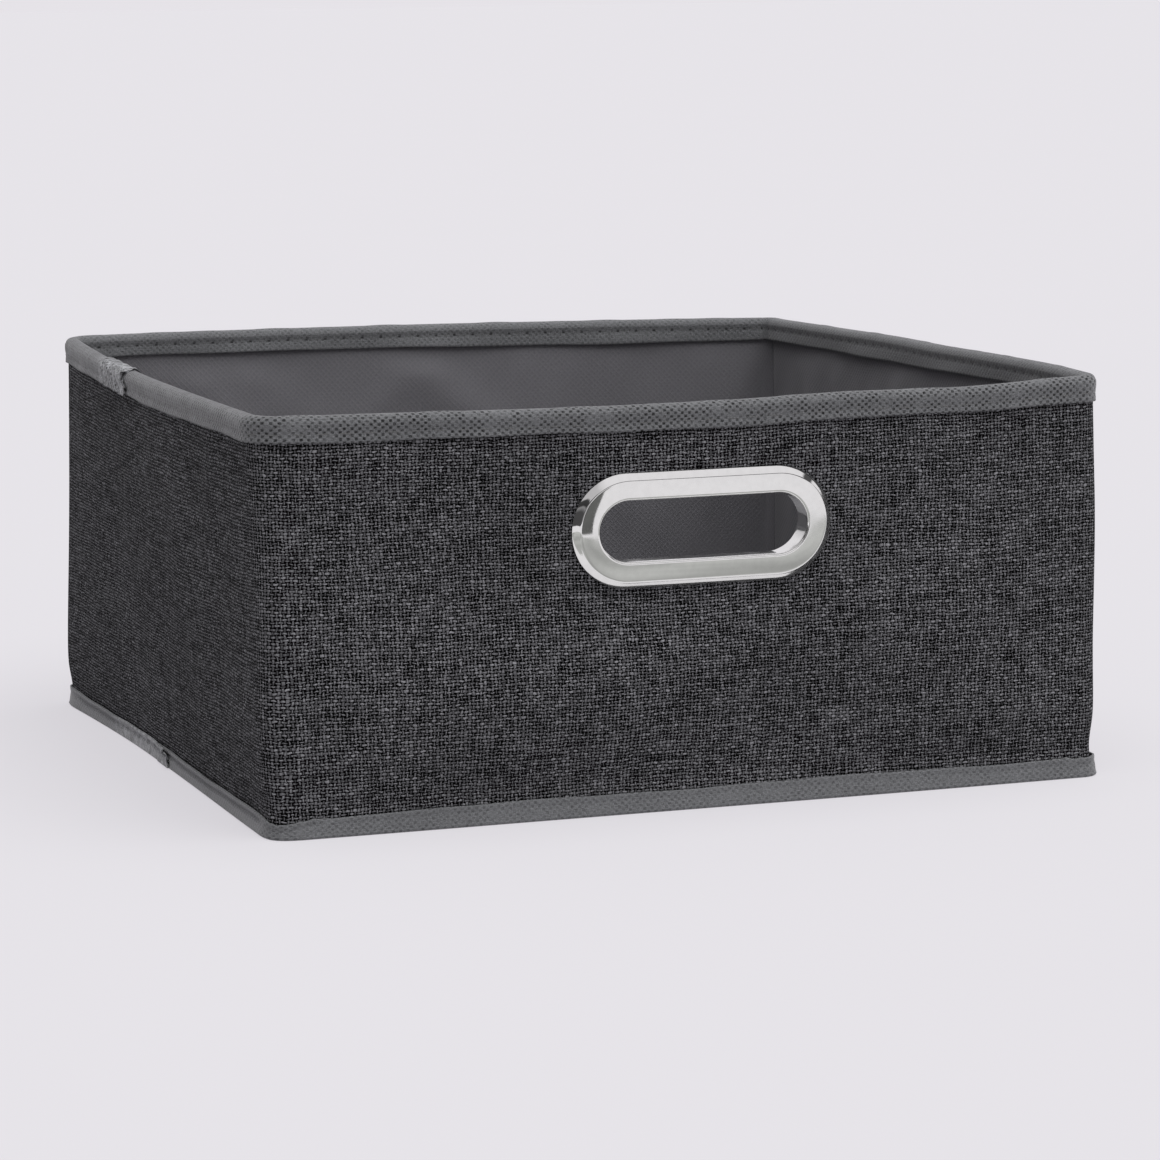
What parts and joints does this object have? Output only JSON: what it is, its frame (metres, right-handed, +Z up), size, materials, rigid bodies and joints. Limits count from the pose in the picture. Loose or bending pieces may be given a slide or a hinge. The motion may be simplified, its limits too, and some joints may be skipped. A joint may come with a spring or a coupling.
{
  "type": "fabric storage bin",
  "caption": "Half-height fabric storage bin with stiff bowed walls, bound rim and hem, a metal-ringed hand slot and a lift-out base board.",
  "frame": {"origin": "on the floor, under the middle of the bin's overall box", "axes": "+Z up from the floor to the open top; the front wall with the handle faces -Y; +X to the right of someone facing the handle"},
  "size_m": [0.3196, 0.3259, 0.147],
  "materials": {
    "outer_linen": "charcoal linen-look plain weave",
    "lining": "dark grey embossed non-woven",
    "binding": "mid grey dot-embossed non-woven tape, stitched",
    "chipboard": "grey-brown recycled chipboard",
    "chrome": "polished"
  },
  "bodies": {
    "bin": {"outer_fabric_front_sides": "outer_linen", "outer_fabric_back": "outer_linen", "lining_front_sides": "lining", "lining_back": "lining", "front_board": "chipboard", "back_board": "chipboard", "right_board_front": "chipboard", "right_board_rear": "chipboard", "left_board_rear": "chipboard", "left_board_front": "chipboard", "base_fabric": "lining", "rim_binding": "binding", "hem_binding": "binding", "handle_ring_front": "chrome", "handle_ring_back": "chrome"},
    "base_insert": {"insert_board": "chipboard", "insert_cover": "lining"}
  },
  "joints": [
    {"name": "base_insert_lift", "type": "slide", "parent": "bin", "child": "base_insert", "axis": [0, 0, 1], "range_m": [0, 0.16]}
  ]
}
